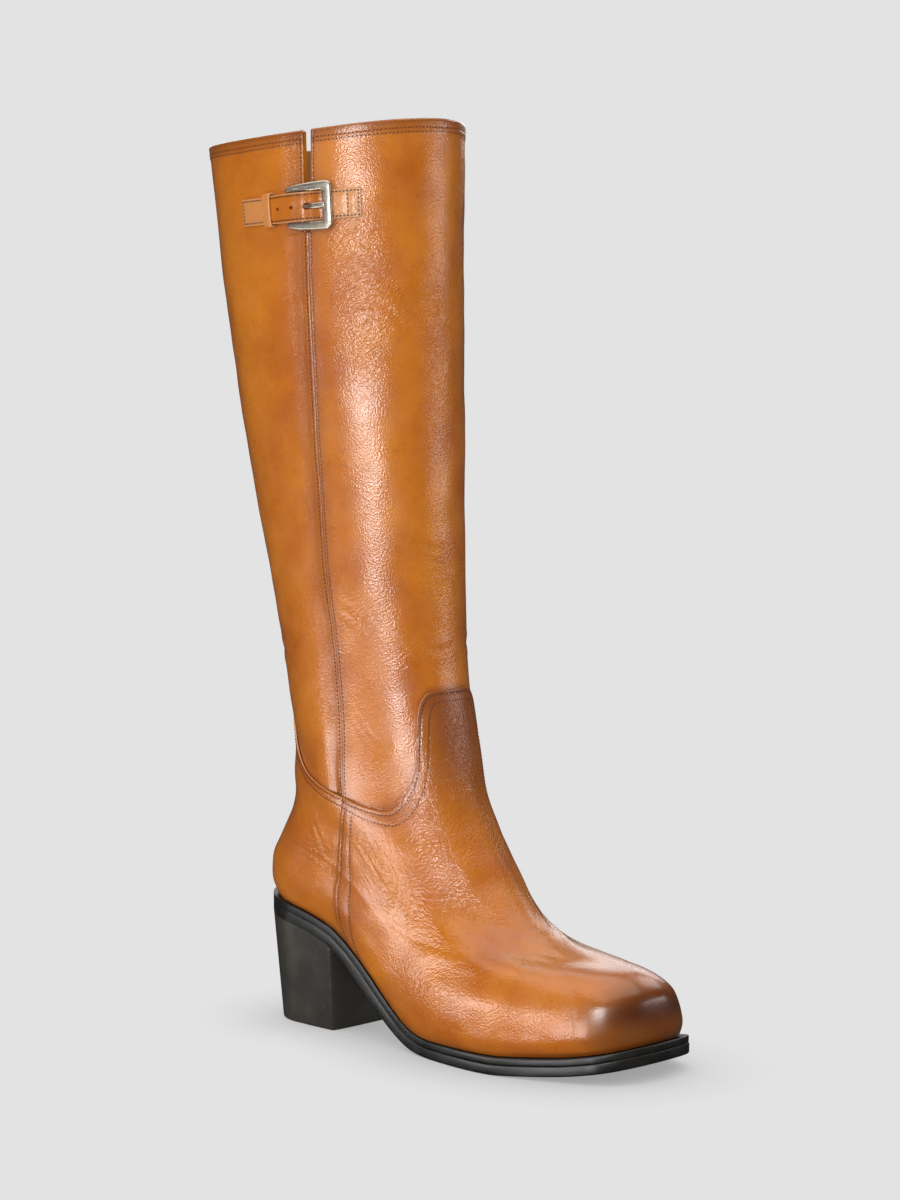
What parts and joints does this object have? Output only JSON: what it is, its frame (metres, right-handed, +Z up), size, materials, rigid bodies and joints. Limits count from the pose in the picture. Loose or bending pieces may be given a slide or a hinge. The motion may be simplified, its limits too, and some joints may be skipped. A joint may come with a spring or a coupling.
{
  "type": "knee-high boot",
  "caption": "Right-foot knee-high leather boot with a block heel, a foot piece lapped over the leg, and a strap and buckle across a slit at the collar.",
  "frame": {"origin": "on the floor under the middle of the boot's bounding box", "axes": "+X from heel to toe, +Y to the inner (medial) side of the leg, +Z up"},
  "size_m": [0.2822, 0.1192, 0.4605],
  "materials": {
    "leather": "polished cognac calf, burnished darker at the toe",
    "lining": "matt natural leather",
    "sole_black": "semi-gloss black",
    "heel_black": "semi-gloss black lacquer",
    "nickel": "brushed antique nickel"
  },
  "bodies": {
    "root": {"outsole": "sole_black", "welt": "sole_black", "heel": "heel_black", "insole": "lining", "upper": "leather", "shaft": "leather", "strap": "leather", "buckle_tab": "leather", "keeper": "leather", "buckle_frame": "nickel", "buckle_prong": "nickel"}
  },
  "joints": []
}
